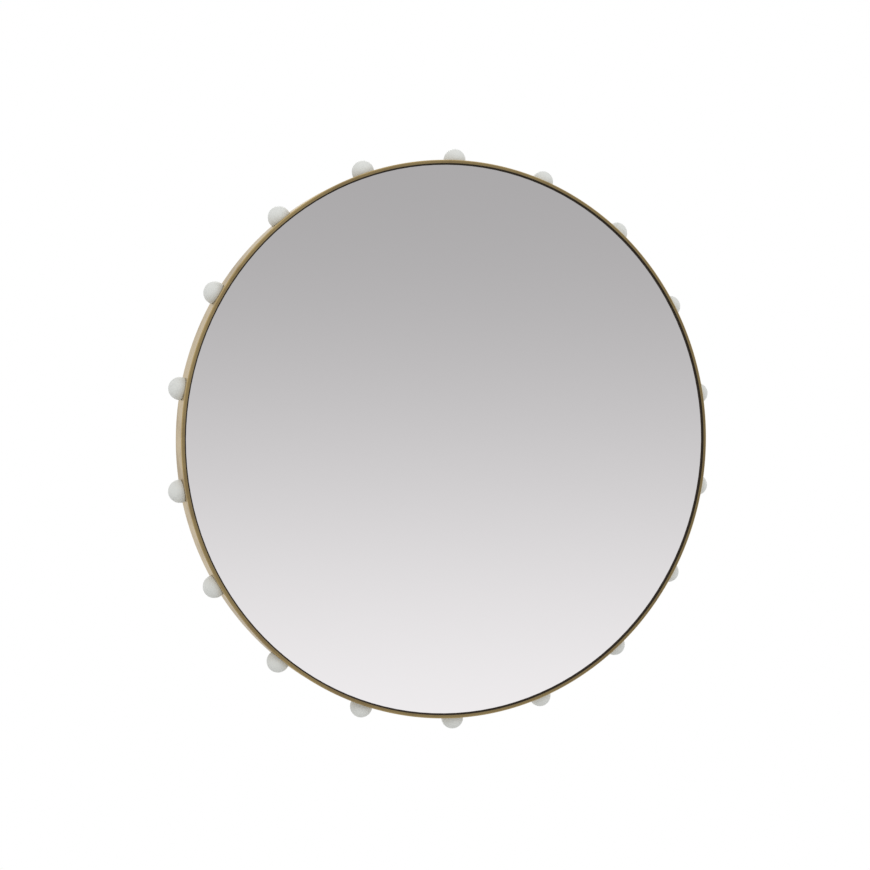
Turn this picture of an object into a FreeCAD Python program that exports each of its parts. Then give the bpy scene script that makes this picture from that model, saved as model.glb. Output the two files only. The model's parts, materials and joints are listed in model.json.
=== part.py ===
# Round wall mirror: a flat glass in a deep brass-finished hoop, with marble balls bolted round the outside.
#
# Axes: +X to the right, +Z up, and the mirror faces -Y. The origin is the hoop's centre in the plane of the
# wall, so the hoop's rear rim lies at y = 0. Lengths are millimetres and angles degrees. A clock angle runs
# clockwise from the top, as seen from the front.

import FreeCAD
import Part
import math
import os

from FreeCAD import Vector

# ---- Hoop: a rolled and welded L-section ----
hoop_radius = 435.0
hoop_depth = 45.0
hoop_wall = 2.0
lip_width = 6.0
lip_thickness = 2.0
front_corner_radius = 1.8
lip_edge_radius = 0.6
rim_corner_radius = 0.3

# ---- Glass, its seal and the board behind it ----
seal_thickness = 1.5
seal_reveal = 1.4
glass_thickness = 4.0
glass_side_gap = 2.0
glass_arris = 0.5
adhesive_thickness = 1.0
adhesive_width = 22.0
adhesive_pitch = 150.0
adhesive_strips = 5
adhesive_margin = 40.0
board_thickness = 9.0
board_arris = 1.0
board_side_gap = 1.0

# ---- Marble balls and their fixings ----
ball_count = 18
ball_radius = 17.25
ball_standoff = 3.7
ball_setback = 27.0
insert_radius = 4.0
insert_length = 12.0
insert_glue_gap = 0.05
insert_floor_gap = 2.5
ball_screw_radius = 2.5
ball_screw_length = 14.0
ball_screw_head_radius = 4.7
ball_screw_head_height = 2.7
ball_screw_hole_gap = 0.25
thread_gap = 0.03
washer_radius = 5.0
washer_thickness = 1.0

# ---- Retaining tabs, folded over the board's back ----
tab_count = 6
tab_first_clock = 30.0
tab_sheet = 1.5
tab_width = 20.0
tab_wall_leg = 18.0
tab_board_leg = 26.0
tab_inside_bend = 1.5
tab_end_radius = 4.0
tab_hole_inset = 9.0

# ---- Wood screws ----
small_screw_radius = 1.75
small_screw_length = 9.0
small_screw_head_radius = 3.5
small_screw_head_height = 2.2
hanger_screw_radius = 2.0
hanger_screw_length = 12.0
hanger_screw_head_radius = 3.8
hanger_screw_head_height = 2.3
rail_screw_radius = 2.0
rail_screw_length = 20.0
rail_screw_head_radius = 4.0
rail_screw_head_depth = 2.4
pilot_gap = 0.05
pilot_end_gap = 0.5
screw_hole_gap = 0.25

# ---- Hanging rail and spacer rail ----
rail_length = 640.0
rail_height = 60.0
rail_thickness = 15.0
rail_offset = 180.0
rail_corner_radius = 3.0
rail_screw_end_margin = 30.0
rail_screw_count = 3

# ---- Ring hangers ----
hanger_end_margin = 100.0
strap_sheet = 1.0
strap_width = 12.0
strap_length = 44.0
strap_end_radius = 5.0
strap_first_hole = 12.0
strap_hole_pitch = 24.0
knuckle_below_rail_top = 8.0
ring_wire_radius = 1.5
ring_inside_width = 26.0
ring_inside_height = 21.0
ring_inside_corner = 2.5
hinge_clearance = 0.05
ring_rest_gap = 0.3

# ---- Screw shapes, as shares of the shank's radius or the head's height ----
screw_point_share = 0.4
machine_screw_tip_share = 0.3
wood_screw_tip_share = 2.0
head_rounding_share = 0.75

# ---- Wall bumpers ----
bumper_end_margin = 100.0
bumper_radius = 11.0
bumper_taper = 1.5
bumper_edge_radius = 1.2
bumper_counterbore_radius = 4.6
bumper_base_thickness = 3.0

# ---- Worked out from the sizes above: depths, with the wall at y = 0 ----
front_y = -hoop_depth
lip_back_y = front_y + lip_thickness
glass_front_y = lip_back_y + seal_thickness
glass_back_y = glass_front_y + glass_thickness
board_front_y = glass_back_y + adhesive_thickness
board_back_y = board_front_y + board_thickness
rail_back_y = board_back_y + rail_thickness
strap_back_y = rail_back_y + 2 * strap_sheet
ball_y = front_y + ball_setback

# ---- Worked out: radii about the hoop's axis ----
hoop_inner_radius = hoop_radius - hoop_wall
lip_inner_radius = hoop_radius - lip_width
glass_radius = hoop_inner_radius - glass_side_gap
washer_seat_radius = math.sqrt(hoop_inner_radius ** 2 - washer_radius ** 2)
screw_seat_radius = washer_seat_radius - washer_thickness
board_radius = screw_seat_radius - ball_screw_head_height - board_side_gap
tab_hole_radius = hoop_inner_radius - tab_board_leg + tab_hole_inset

# ---- Worked out: places along the rails ----
rail_screw_pitch = (rail_length - 2 * rail_screw_end_margin) / (rail_screw_count - 1)
hanger_spacing = rail_length - 2 * hanger_end_margin
bumper_spacing = rail_length - 2 * bumper_end_margin

# ---- Worked out: hinge of the ring hangers ----
knuckle_bore = ring_wire_radius + hinge_clearance
knuckle_radius = knuckle_bore + strap_sheet
hinge_y = rail_back_y + knuckle_radius
hinge_z = rail_offset + rail_height / 2 - knuckle_below_rail_top
ring_half_width = ring_inside_width / 2 + ring_wire_radius
ring_drop = ring_inside_height + 2 * ring_wire_radius
ring_lean = math.degrees(math.asin((strap_back_y + ring_rest_gap + ring_wire_radius - hinge_y) / ring_drop))

# How far a cutting shape runs past the face it cuts, and how near an edge lies to where it is picked by.
CUT_OVERRUN = 1.0
PICK_MARGIN = 0.5

CENTRE = Vector(0, 0, 0)
X_AXIS = Vector(1, 0, 0)
Y_AXIS = Vector(0, 1, 0)
Z_AXIS = Vector(0, 0, 1)


# ---- Shape helpers ----
def rounded_wire(corners, radii):
    """Closed wire through the corners, each rounded by its own radius."""
    starts = []
    edges = []
    count = len(corners)
    for i, corner in enumerate(corners):
        to_last = (corners[i - 1] - corner).normalize()
        to_next = (corners[(i + 1) % count] - corner).normalize()
        if radii[i] == 0:
            starts.append((corner, corner))
            continue
        half_angle = to_last.getAngle(to_next) / 2
        reach = radii[i] / math.tan(half_angle)
        centre = corner + (to_last + to_next).normalize() * (radii[i] / math.sin(half_angle))
        middle = centre + (corner - centre).normalize() * radii[i]
        starts.append((corner + to_last * reach, corner + to_next * reach))
        edges.append(Part.Arc(starts[-1][0], middle, starts[-1][1]).toShape())
    for i in range(count):
        leave = starts[i][1]
        arrive = starts[(i + 1) % count][0]
        if leave.distanceToPoint(arrive) > 0.001:
            edges.append(Part.makeLine(leave, arrive))
    return Part.Wire(Part.__sortEdges__(edges))


def turned(corners, radii, axis, angle=360):
    """Solid made by turning a closed section about an axis through the origin."""
    return Part.Face(rounded_wire(corners, radii)).revolve(CENTRE, axis, angle)


def ring_about_y(inner, outer, front, back, radii=(0, 0, 0, 0)):
    """Flat ring or disc about the hoop's axis. The radii round its front inner, front outer, back outer and
    back inner edges."""
    places = [(inner, front), (outer, front), (outer, back), (inner, back)]
    return turned([Vector(radius, y, 0) for radius, y in places], radii, Y_AXIS)


def at_clock(shape, clock):
    """Copy of a shape built at the top of the hoop, turned to a clock angle."""
    copy = shape.copy()
    copy.rotate(CENTRE, Y_AXIS, clock)
    return copy


def moved(shape, x=0, y=0, z=0):
    copy = shape.copy()
    copy.translate(Vector(x, y, z))
    return copy


def radial_cylinder(radius, inner, outer):
    """Cylinder about the hole line of the ball at the top of the hoop."""
    return Part.makeCylinder(radius, outer - inner, Vector(0, ball_y, inner), Z_AXIS)


def rear_hole(radius, depth, x, y, z):
    """Cylinder sunk forwards from a rear face."""
    return Part.makeCylinder(radius, depth, Vector(x, y, z), -Y_AXIS)


def ball_clocks():
    return [i * 360 / ball_count for i in range(ball_count)]


def tab_clocks():
    return [tab_first_clock + i * 360 / tab_count for i in range(tab_count)]


def spread(count, pitch):
    """Places of a row of things, centred on zero."""
    return [(i - (count - 1) / 2) * pitch for i in range(count)]


# ---- Screws, built with the head's seat at the origin and the shank towards +Z ----
def round_head_screw(shank_radius, length, head_radius, head_height, tip_share):
    tip = shank_radius * tip_share
    corners = [
        Vector(0, 0, -head_height),
        Vector(head_radius, 0, -head_height),
        Vector(head_radius, 0, 0),
        Vector(shank_radius, 0, 0),
        Vector(shank_radius, 0, length - tip),
        Vector(shank_radius * screw_point_share, 0, length),
        Vector(0, 0, length),
    ]
    return turned(corners, [0, head_height * head_rounding_share, 0, 0, 0, 0, 0], Z_AXIS)


def countersunk_screw(shank_radius, length, head_radius, head_depth, tip_share):
    tip = shank_radius * tip_share
    corners = [
        Vector(0, 0, 0),
        Vector(head_radius, 0, 0),
        Vector(shank_radius, 0, head_depth),
        Vector(shank_radius, 0, length - tip),
        Vector(shank_radius * screw_point_share, 0, length),
        Vector(0, 0, length),
    ]
    return turned(corners, [0] * len(corners), Z_AXIS)


def driven_from_rear(screw, x, y, z):
    """Copy of a screw with its seat on a rear face and its shank towards the front."""
    copy = screw.copy()
    copy.rotate(CENTRE, X_AXIS, 90)
    copy.translate(Vector(x, y, z))
    return copy


# ---- Frame ----
def make_hoop():
    corners = [
        Vector(hoop_radius, 0, 0),
        Vector(hoop_radius, front_y, 0),
        Vector(lip_inner_radius, front_y, 0),
        Vector(lip_inner_radius, lip_back_y, 0),
        Vector(hoop_inner_radius, lip_back_y, 0),
        Vector(hoop_inner_radius, 0, 0),
    ]
    radii = [rim_corner_radius, front_corner_radius, lip_edge_radius, 0, 0, rim_corner_radius]
    hoop = turned(corners, radii, Y_AXIS)
    hole_radius = ball_screw_radius + ball_screw_hole_gap
    hole = radial_cylinder(hole_radius, lip_inner_radius, hoop_radius + ball_standoff)
    return hoop.cut([at_clock(hole, clock) for clock in ball_clocks()])


def make_tab():
    """Sheet tab with a leg on the hoop's inner wall and a drilled leg folded over the board."""
    outside_bend = tab_inside_bend + tab_sheet
    leg_end = hoop_inner_radius - tab_board_leg
    wall_end_y = board_back_y + tab_wall_leg
    corners = [
        Vector(hoop_inner_radius, board_back_y, 0),
        Vector(leg_end, board_back_y, 0),
        Vector(leg_end, board_back_y + tab_sheet, 0),
        Vector(hoop_inner_radius - tab_sheet, board_back_y + tab_sheet, 0),
        Vector(hoop_inner_radius - tab_sheet, wall_end_y, 0),
        Vector(hoop_inner_radius, wall_end_y, 0),
    ]
    sweep = math.degrees(tab_width / hoop_inner_radius)
    tab = turned(corners, [outside_bend, 0, 0, tab_inside_bend, 0, 0], Y_AXIS, sweep)
    tab.rotate(CENTRE, Y_AXIS, -90 - sweep / 2)
    end_edges = [
        edge
        for edge in tab.Edges
        if edge.BoundBox.YLength > tab_sheet / 2 and edge.CenterOfMass.z < leg_end + PICK_MARGIN
    ]
    tab = tab.makeFillet(tab_end_radius, end_edges)
    back_y = board_back_y + tab_sheet + CUT_OVERRUN
    depth = back_y - board_front_y
    return tab.cut(rear_hole(small_screw_radius + screw_hole_gap, depth, 0, back_y, tab_hole_radius))


# ---- Glass and backing ----
def make_seal():
    return ring_about_y(lip_inner_radius - seal_reveal, glass_radius, lip_back_y, glass_front_y)


def make_glass():
    corners = [
        Vector(0, glass_front_y, 0),
        Vector(glass_radius - glass_arris, glass_front_y, 0),
        Vector(glass_radius, glass_front_y + glass_arris, 0),
        Vector(glass_radius, glass_back_y - glass_arris, 0),
        Vector(glass_radius - glass_arris, glass_back_y, 0),
        Vector(0, glass_back_y, 0),
    ]
    return turned(corners, [0] * len(corners), Y_AXIS)


def make_adhesive_strips():
    strips = []
    for x in spread(adhesive_strips, adhesive_pitch):
        reach = board_radius - adhesive_margin
        if abs(x) < reach:
            half_length = math.sqrt(reach ** 2 - x ** 2)
            corner = Vector(x - adhesive_width / 2, glass_back_y, -half_length)
            strips.append(Part.makeBox(adhesive_width, adhesive_thickness, 2 * half_length, corner))
    return Part.Compound(strips)


def make_board():
    corners = [
        Vector(0, board_front_y, 0),
        Vector(board_radius - board_arris, board_front_y, 0),
        Vector(board_radius, board_front_y + board_arris, 0),
        Vector(board_radius, board_back_y - board_arris, 0),
        Vector(board_radius - board_arris, board_back_y, 0),
        Vector(0, board_back_y, 0),
    ]
    board = turned(corners, [0] * len(corners), Y_AXIS)
    tab_pilot_depth = small_screw_length - tab_sheet + pilot_end_gap
    tab_pilot = rear_hole(small_screw_radius + pilot_gap, tab_pilot_depth, 0, board_back_y, tab_hole_radius)
    holes = [at_clock(tab_pilot, clock) for clock in tab_clocks()]
    rail_pilot_depth = rail_screw_length - rail_thickness + pilot_end_gap
    for x, z in rail_screw_places(rail_offset) + rail_screw_places(-rail_offset):
        holes.append(rear_hole(rail_screw_radius + pilot_gap, rail_pilot_depth, x, board_back_y, z))
    return board.cut(holes)


# ---- Balls ----
def make_ball():
    """Marble ball at the top of the hoop, ground flat where it seats and drilled for its insert."""
    centre_z = hoop_radius + ball_standoff
    ball = Part.makeSphere(ball_radius, Vector(0, ball_y, centre_z), Z_AXIS)
    side = 2 * ball_radius
    corner = Vector(-ball_radius, ball_y - ball_radius, hoop_radius - side)
    below_seat = Part.makeBox(side, side, side, corner)
    hole_end = hoop_radius + insert_length + insert_floor_gap
    hole = radial_cylinder(insert_radius + insert_glue_gap, hoop_radius - CUT_OVERRUN, hole_end)
    return ball.cut([below_seat, hole])


def make_insert():
    outside = radial_cylinder(insert_radius, hoop_radius, hoop_radius + insert_length)
    thread = radial_cylinder(ball_screw_radius + thread_gap, hoop_radius, hoop_radius + insert_length)
    return outside.cut(thread)


def make_washer():
    outside = radial_cylinder(washer_radius, screw_seat_radius, washer_seat_radius)
    hole = radial_cylinder(ball_screw_radius + ball_screw_hole_gap, screw_seat_radius, washer_seat_radius)
    return outside.cut(hole)


def make_ball_screw():
    screw = round_head_screw(
        ball_screw_radius,
        ball_screw_length,
        ball_screw_head_radius,
        ball_screw_head_height,
        machine_screw_tip_share,
    )
    return moved(screw, y=ball_y, z=screw_seat_radius)


# ---- Rails ----
def rail_screw_places(z):
    """Places of a rail's screws, x and z."""
    return [(x, z) for x in spread(rail_screw_count, rail_screw_pitch)]


def rear_screw_hole(x, z, radius, length):
    return rear_hole(radius + pilot_gap, length + pilot_end_gap, x, rail_back_y, z)


def make_rail(z):
    corner = Vector(-rail_length / 2, board_back_y, z - rail_height / 2)
    rail = Part.makeBox(rail_length, rail_thickness, rail_height, corner)
    long_edges = [
        edge
        for edge in rail.Edges
        if edge.BoundBox.XLength > rail_length / 2 and edge.CenterOfMass.y > rail_back_y - PICK_MARGIN
    ]
    rail = rail.makeFillet(rail_corner_radius, long_edges)
    head = countersunk_screw(
        rail_screw_radius + pilot_gap,
        rail_screw_length,
        rail_screw_head_radius + pilot_gap,
        rail_screw_head_depth + pilot_gap,
        0,
    )
    return rail.cut([driven_from_rear(head, x, rail_back_y, z) for x, z in rail_screw_places(z)])


def make_hanging_rail():
    rail = make_rail(rail_offset)
    depth = hanger_screw_length - 2 * strap_sheet
    holes = [rear_screw_hole(x, z, hanger_screw_radius, depth) for x, z in hanger_screw_places()]
    return rail.cut(holes)


def make_spacer_rail():
    rail = make_rail(-rail_offset)
    depth = hanger_screw_length - bumper_base_thickness
    holes = [rear_screw_hole(x, z, hanger_screw_radius, depth) for x, z in bumper_places()]
    return rail.cut(holes)


def make_rail_screws():
    screw = countersunk_screw(
        rail_screw_radius,
        rail_screw_length,
        rail_screw_head_radius,
        rail_screw_head_depth,
        wood_screw_tip_share,
    )
    places = rail_screw_places(rail_offset) + rail_screw_places(-rail_offset)
    return Part.Compound([driven_from_rear(screw, x, rail_back_y, z) for x, z in places])


# ---- Ring hangers ----
def strap_hole_heights():
    return (hinge_z - strap_first_hole, hinge_z - strap_first_hole - strap_hole_pitch)


def hanger_screw_places():
    return [(x, z) for x in spread(2, hanger_spacing) for z in strap_hole_heights()]


def make_strap(x):
    """Folded strap: two layers against the rail and a knuckle round the ring's bar."""
    corner = Vector(-strap_width / 2, rail_back_y, hinge_z - strap_length)
    layers = Part.makeBox(strap_width, 2 * strap_sheet, strap_length, corner)
    end_edges = [
        edge
        for edge in layers.Edges
        if edge.BoundBox.YLength > strap_sheet and edge.CenterOfMass.z < hinge_z - strap_length / 2
    ]
    layers = layers.makeFillet(strap_end_radius, end_edges)
    bar_start = Vector(-strap_width / 2, hinge_y, hinge_z)
    knuckle = Part.makeCylinder(knuckle_radius, strap_width, bar_start, X_AXIS)
    bore = Part.makeCylinder(knuckle_bore, strap_width, bar_start, X_AXIS)
    strap = layers.fuse(knuckle).removeSplitter().cut(bore)
    back_y = strap_back_y + CUT_OVERRUN
    depth = back_y - rail_back_y + CUT_OVERRUN
    hole_radius = hanger_screw_radius + screw_hole_gap
    holes = [rear_hole(hole_radius, depth, 0, back_y, z) for z in strap_hole_heights()]
    return moved(strap.cut(holes), x=x)


def make_ring(x):
    """Wire ring with a straight bar in the knuckle, hanging down against the strap."""
    low = hinge_z - ring_drop
    bend = ring_inside_corner + ring_wire_radius
    corners = [
        Vector(-ring_half_width, hinge_y, hinge_z),
        Vector(ring_half_width, hinge_y, hinge_z),
        Vector(ring_half_width, hinge_y, low),
        Vector(-ring_half_width, hinge_y, low),
    ]
    path = rounded_wire(corners, [bend, bend, ring_half_width, ring_half_width])
    section = Part.Wire(Part.makeCircle(ring_wire_radius, Vector(0, hinge_y, hinge_z), X_AXIS))
    ring = path.makePipeShell([section], True, True)
    ring.rotate(Vector(0, hinge_y, hinge_z), X_AXIS, ring_lean)
    return moved(ring, x=x)


def make_hanger_screws():
    screw = round_head_screw(
        hanger_screw_radius,
        hanger_screw_length,
        hanger_screw_head_radius,
        hanger_screw_head_height,
        wood_screw_tip_share,
    )
    return Part.Compound([driven_from_rear(screw, x, strap_back_y, z) for x, z in hanger_screw_places()])


# ---- Wall bumpers ----
def bumper_places():
    return [(x, -rail_offset) for x in spread(2, bumper_spacing)]


def make_bumper(x):
    """Tapered rubber foot that reaches the wall, counterbored for its screw."""
    height = -rail_back_y
    corners = [
        Vector(hanger_screw_radius + screw_hole_gap, 0, 0),
        Vector(bumper_radius, 0, 0),
        Vector(bumper_radius - bumper_taper, 0, height),
        Vector(bumper_counterbore_radius, 0, height),
        Vector(bumper_counterbore_radius, 0, bumper_base_thickness),
        Vector(hanger_screw_radius + screw_hole_gap, 0, bumper_base_thickness),
    ]
    bumper = turned(corners, [0, 0, bumper_edge_radius, 0, 0, 0], Z_AXIS)
    bumper.rotate(CENTRE, X_AXIS, -90)
    return moved(bumper, x=x, y=rail_back_y, z=-rail_offset)


def make_bumper_screws():
    screw = round_head_screw(
        hanger_screw_radius,
        hanger_screw_length,
        hanger_screw_head_radius,
        hanger_screw_head_height,
        wood_screw_tip_share,
    )
    seat_y = rail_back_y + bumper_base_thickness
    return Part.Compound([driven_from_rear(screw, x, seat_y, z) for x, z in bumper_places()])


def make_tab_screws():
    screw = round_head_screw(
        small_screw_radius,
        small_screw_length,
        small_screw_head_radius,
        small_screw_head_height,
        wood_screw_tip_share,
    )
    at_top = driven_from_rear(screw, 0, board_back_y + tab_sheet, tab_hole_radius)
    return Part.Compound([at_clock(at_top, clock) for clock in tab_clocks()])


def around_hoop(shape):
    """Group of one shape copied to every ball's place."""
    return Part.Compound([at_clock(shape, clock) for clock in ball_clocks()])


# ---- The assembly ----
half_hangers = hanger_spacing / 2
half_bumpers = bumper_spacing / 2
nodes = {
    "frame_hoop": make_hoop(),
    "glazing_seal": make_seal(),
    "mirror_glass": make_glass(),
    "adhesive_strips": make_adhesive_strips(),
    "backing_board": make_board(),
    "ball_inserts": around_hoop(make_insert()),
    "ball_washers": around_hoop(make_washer()),
    "ball_screws": around_hoop(make_ball_screw()),
    "tab_screws": make_tab_screws(),
    "hanging_rail": make_hanging_rail(),
    "spacer_rail": make_spacer_rail(),
    "rail_screws": make_rail_screws(),
    "hanger_strap_left": make_strap(-half_hangers),
    "hanger_strap_right": make_strap(half_hangers),
    "hanger_ring_left": make_ring(-half_hangers),
    "hanger_ring_right": make_ring(half_hangers),
    "hanger_screws": make_hanger_screws(),
    "wall_bumper_left": make_bumper(-half_bumpers),
    "wall_bumper_right": make_bumper(half_bumpers),
    "bumper_screws": make_bumper_screws(),
}
for number, clock in enumerate(ball_clocks(), 1):
    nodes[f"marble_ball_{number:02d}"] = at_clock(make_ball(), clock)
for number, clock in enumerate(tab_clocks(), 1):
    nodes[f"retaining_tab_{number}"] = at_clock(make_tab(), clock)

os.makedirs("parts", exist_ok=True)
for name, shape in nodes.items():
    shape.exportStep(f"parts/{name}.step")
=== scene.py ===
"""Round wall mirror with marble balls: every visible finish and turned piece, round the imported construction.

Lengths are metres. +X is right, +Z up, and the mirror faces -Y. A clock angle runs clockwise from the top, as
seen from the front.
"""

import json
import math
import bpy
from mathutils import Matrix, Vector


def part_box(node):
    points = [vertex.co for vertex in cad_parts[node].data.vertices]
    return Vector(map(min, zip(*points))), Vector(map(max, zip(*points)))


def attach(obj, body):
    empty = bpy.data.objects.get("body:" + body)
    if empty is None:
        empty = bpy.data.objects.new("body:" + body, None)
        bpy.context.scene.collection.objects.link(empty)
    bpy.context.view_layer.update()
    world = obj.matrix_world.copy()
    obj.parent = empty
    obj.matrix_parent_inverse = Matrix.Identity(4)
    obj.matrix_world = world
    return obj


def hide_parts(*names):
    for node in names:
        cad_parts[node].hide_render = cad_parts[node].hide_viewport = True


bl_info = {
    "name": "Round Wall Mirror",
    "version": (1, 0, 0),
    "blender": (4, 5, 0),
    "location": "View3D > Sidebar > Mirror",
    "description": "Builds a round mirror in a brass-finished hoop set with marble balls, and its studio",
    "category": "Object",
}

import bmesh
import bpy
from bpy.props import FloatProperty, FloatVectorProperty, IntProperty, PointerProperty
from mathutils import Euler, Matrix, Vector

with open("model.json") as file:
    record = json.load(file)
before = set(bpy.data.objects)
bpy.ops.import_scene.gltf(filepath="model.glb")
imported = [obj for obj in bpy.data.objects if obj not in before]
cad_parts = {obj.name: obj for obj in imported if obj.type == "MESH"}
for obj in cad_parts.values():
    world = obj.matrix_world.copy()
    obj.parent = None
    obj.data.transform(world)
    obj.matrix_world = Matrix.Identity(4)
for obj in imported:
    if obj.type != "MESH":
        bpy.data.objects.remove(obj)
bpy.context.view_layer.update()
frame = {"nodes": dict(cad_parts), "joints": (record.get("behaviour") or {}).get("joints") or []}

FIXED_BODY = "mirror"
RING_BODIES = {"left": "ring_left", "right": "ring_right"}
BALL_NODES = sorted(name for name in frame["nodes"] if name.startswith("marble_ball_"))
TAB_NODES = sorted(name for name in frame["nodes"] if name.startswith("retaining_tab_"))
MM = 0.001


# ---- Sizes read from the construction ----
def box_of(node):
    low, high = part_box(node)
    return Vector(low), Vector(high)


HOOP_LOW, HOOP_HIGH = box_of("frame_hoop")
GLASS_LOW, GLASS_HIGH = box_of("mirror_glass")
TOP_BALL_LOW, TOP_BALL_HIGH = box_of(BALL_NODES[0])
BALL_DEPTH = (TOP_BALL_LOW.y + TOP_BALL_HIGH.y) / 2
RAIL_BACK = box_of("hanging_rail")[1].y
RING_BACK = box_of("hanger_ring_right")[1].y
HINGES = {joint["child"]: Vector(joint["pos_m"]) for joint in frame["joints"]}


# ---- Settings that a user would change ----
def length(name, description, default):
    return FloatProperty(
        name=name, description=description, default=default, min=0.0, unit="LENGTH", precision=4
    )


def colour(name, description, default):
    return FloatVectorProperty(
        name=name, description=description, default=default, min=0.0, max=1.0, size=3, subtype="COLOR"
    )


def share(name, description, default):
    return FloatProperty(
        name=name, description=description, default=default, min=0.0, max=1.0, subtype="FACTOR"
    )


def angle(name, description, degrees):
    return FloatProperty(name=name, description=description, default=math.radians(degrees), subtype="ANGLE")


class HoopSettings(bpy.types.PropertyGroup):
    radius: length("Outer radius", "Radius of the hoop's outer wall", HOOP_HIGH.x)
    depth: length("Depth", "Depth of the hoop from the wall to its front", HOOP_HIGH.y - HOOP_LOW.y)
    wall: length("Wall", "Thickness of the rolled strip", 2.0 * MM)
    lip_width: length("Lip width", "Width of the front lip, outer wall included", 6.0 * MM)
    lip_thickness: length("Lip thickness", "Thickness of the front lip", 2.0 * MM)
    front_corner: length("Front corner", "Radius of the outer front corner", 1.8 * MM)
    lip_edge: length("Lip edge", "Radius of the lip's inner front edge", 0.6 * MM)
    rim_corner: length("Rim corner", "Radius of the rear rim's edges", 0.3 * MM)
    screw_hole: length("Screw hole", "Radius of the holes for the ball screws", 2.75 * MM)
    steps: IntProperty(name="Steps", description="Facets round the hoop", default=540, min=48)
    weld_clock: angle("Weld clock", "Clock angle of the ground weld", 190.0)


class BallSettings(bpy.types.PropertyGroup):
    radius: length("Radius", "Radius of a marble ball", 17.25 * MM)
    insert_hole: length("Insert hole", "Radius of the hole for the threaded insert", 4.05 * MM)
    insert_depth: length("Insert depth", "Depth of the hole for the threaded insert", 14.5 * MM)
    steps: IntProperty(name="Steps", description="Facets round a ball", default=72, min=16)


class HangerSettings(bpy.types.PropertyGroup):
    wire: length("Wire radius", "Radius of the ring's wire", 1.5 * MM)
    inside_width: length("Inside width", "Clear width of the ring", 26.0 * MM)
    inside_height: length("Inside height", "Clear height of the ring", 21.0 * MM)
    inside_corner: length("Inside corner", "Inner radius of the ring's bends at its bar", 2.5 * MM)
    steps: IntProperty(name="Steps", description="Facets round the wire", default=20, min=8)


class FinishSettings(bpy.types.PropertyGroup):
    brass: colour("Brass", "Rubbed antique brass", (0.49, 0.366, 0.172))
    patina: colour("Patina", "Brass where the antique finish lies thickest", (0.290, 0.205, 0.108))
    # Painted shade: this near-black colour, set as dark wax, is painted on the lip's inner edge and inner
    # wall, where the gap to the glass lies in shade.
    lip_shade: colour("Lip shade", "Dark wax left at the lip's inner edge", (0.030, 0.022, 0.014))
    shade_band_width: length("Wax width", "How far the dark wax runs out over the lip", 0.8 * MM)
    marble: colour("Marble", "Ground colour of the marble", (0.80, 0.81, 0.78))
    vein: colour("Vein", "Colour of the marble's veins", (0.52, 0.53, 0.51))
    vein_strength: share("Vein strength", "How strongly the veins show", 0.16)
    silver: colour("Silver", "Colour of the mirror's reflection", (0.930, 0.907, 0.919))
    paint: colour("Black paint", "Paint on the board and the rails", (0.022, 0.021, 0.020))


class StudioSettings(bpy.types.PropertyGroup):
    azimuth: angle("Azimuth", "How far the camera stands to the left of the mirror's axis", 20.36)
    elevation: angle("Elevation", "How far the camera stands above the mirror's axis", 0.96)
    distance: length("Distance", "Camera to the centre of the hoop's front", 2.458)
    lens: FloatProperty(name="Lens", description="Focal length in millimetres", default=65.25, min=1.0)
    roll: angle("Roll", "How far the camera is turned about its own axis", 0.23)
    floor_drop: length("Floor drop", "Floor below the mirror's centre", 1.6)
    floor: colour("Floor", "Colour of the studio floor", (0.82, 0.82, 0.81))
    key_power: FloatProperty(
        name="Key power", description="Power of the key light in watts", default=20.0, min=0.0
    )


class MirrorSettings(bpy.types.PropertyGroup):
    hoop: PointerProperty(type=HoopSettings, name="Hoop", description="Sizes of the hoop")
    ball: PointerProperty(type=BallSettings, name="Balls", description="Sizes of the marble balls")
    hanger: PointerProperty(type=HangerSettings, name="Hangers", description="Sizes of the hanger rings")
    finish: PointerProperty(type=FinishSettings, name="Finishes", description="Colours of the finishes")
    studio: PointerProperty(type=StudioSettings, name="Studio", description="Camera, lights and floor")


def settings():
    return bpy.context.scene.wall_mirror


# ---- Node trees written as expressions ----
class Link:
    """An output socket. An expression on links and numbers adds the Math nodes that it needs."""

    def __init__(self, graph, socket):
        self.graph = graph
        self.socket = socket

    def __getitem__(self, name):
        """Another output of the same node."""
        return Link(self.graph, self.socket.node.outputs[name])

    def math(self, operation, *others):
        return self.graph.math(operation, self, *others)

    def __add__(self, other):
        return self.math("ADD", other)

    def __sub__(self, other):
        return self.math("SUBTRACT", other)

    def __mul__(self, other):
        return self.math("MULTIPLY", other)

    def __truediv__(self, other):
        return self.math("DIVIDE", other)

    def __pow__(self, other):
        return self.math("POWER", other)

    def __rsub__(self, other):
        return self.graph.math("SUBTRACT", other, self)

    def __rtruediv__(self, other):
        return self.graph.math("DIVIDE", other, self)

    __radd__ = __add__
    __rmul__ = __mul__

    def rise(self, low, high):
        """Smooth rise from 0 at low to 1 at high. With low above high it falls."""
        sockets = {"Value": self, "From Min": low, "From Max": high}
        if low > high:
            sockets = {"Value": self, "From Min": high, "From Max": low, "To Min": 1.0, "To Max": 0.0}
        return self.graph.node("ShaderNodeMapRange", {"interpolation_type": "SMOOTHSTEP"}, sockets)

    def band(self, middle, half_width):
        """1 at the middle value, falling smoothly to 0 on both sides."""
        return (self - middle).math("ABSOLUTE").rise(half_width, 0.0)


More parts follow.
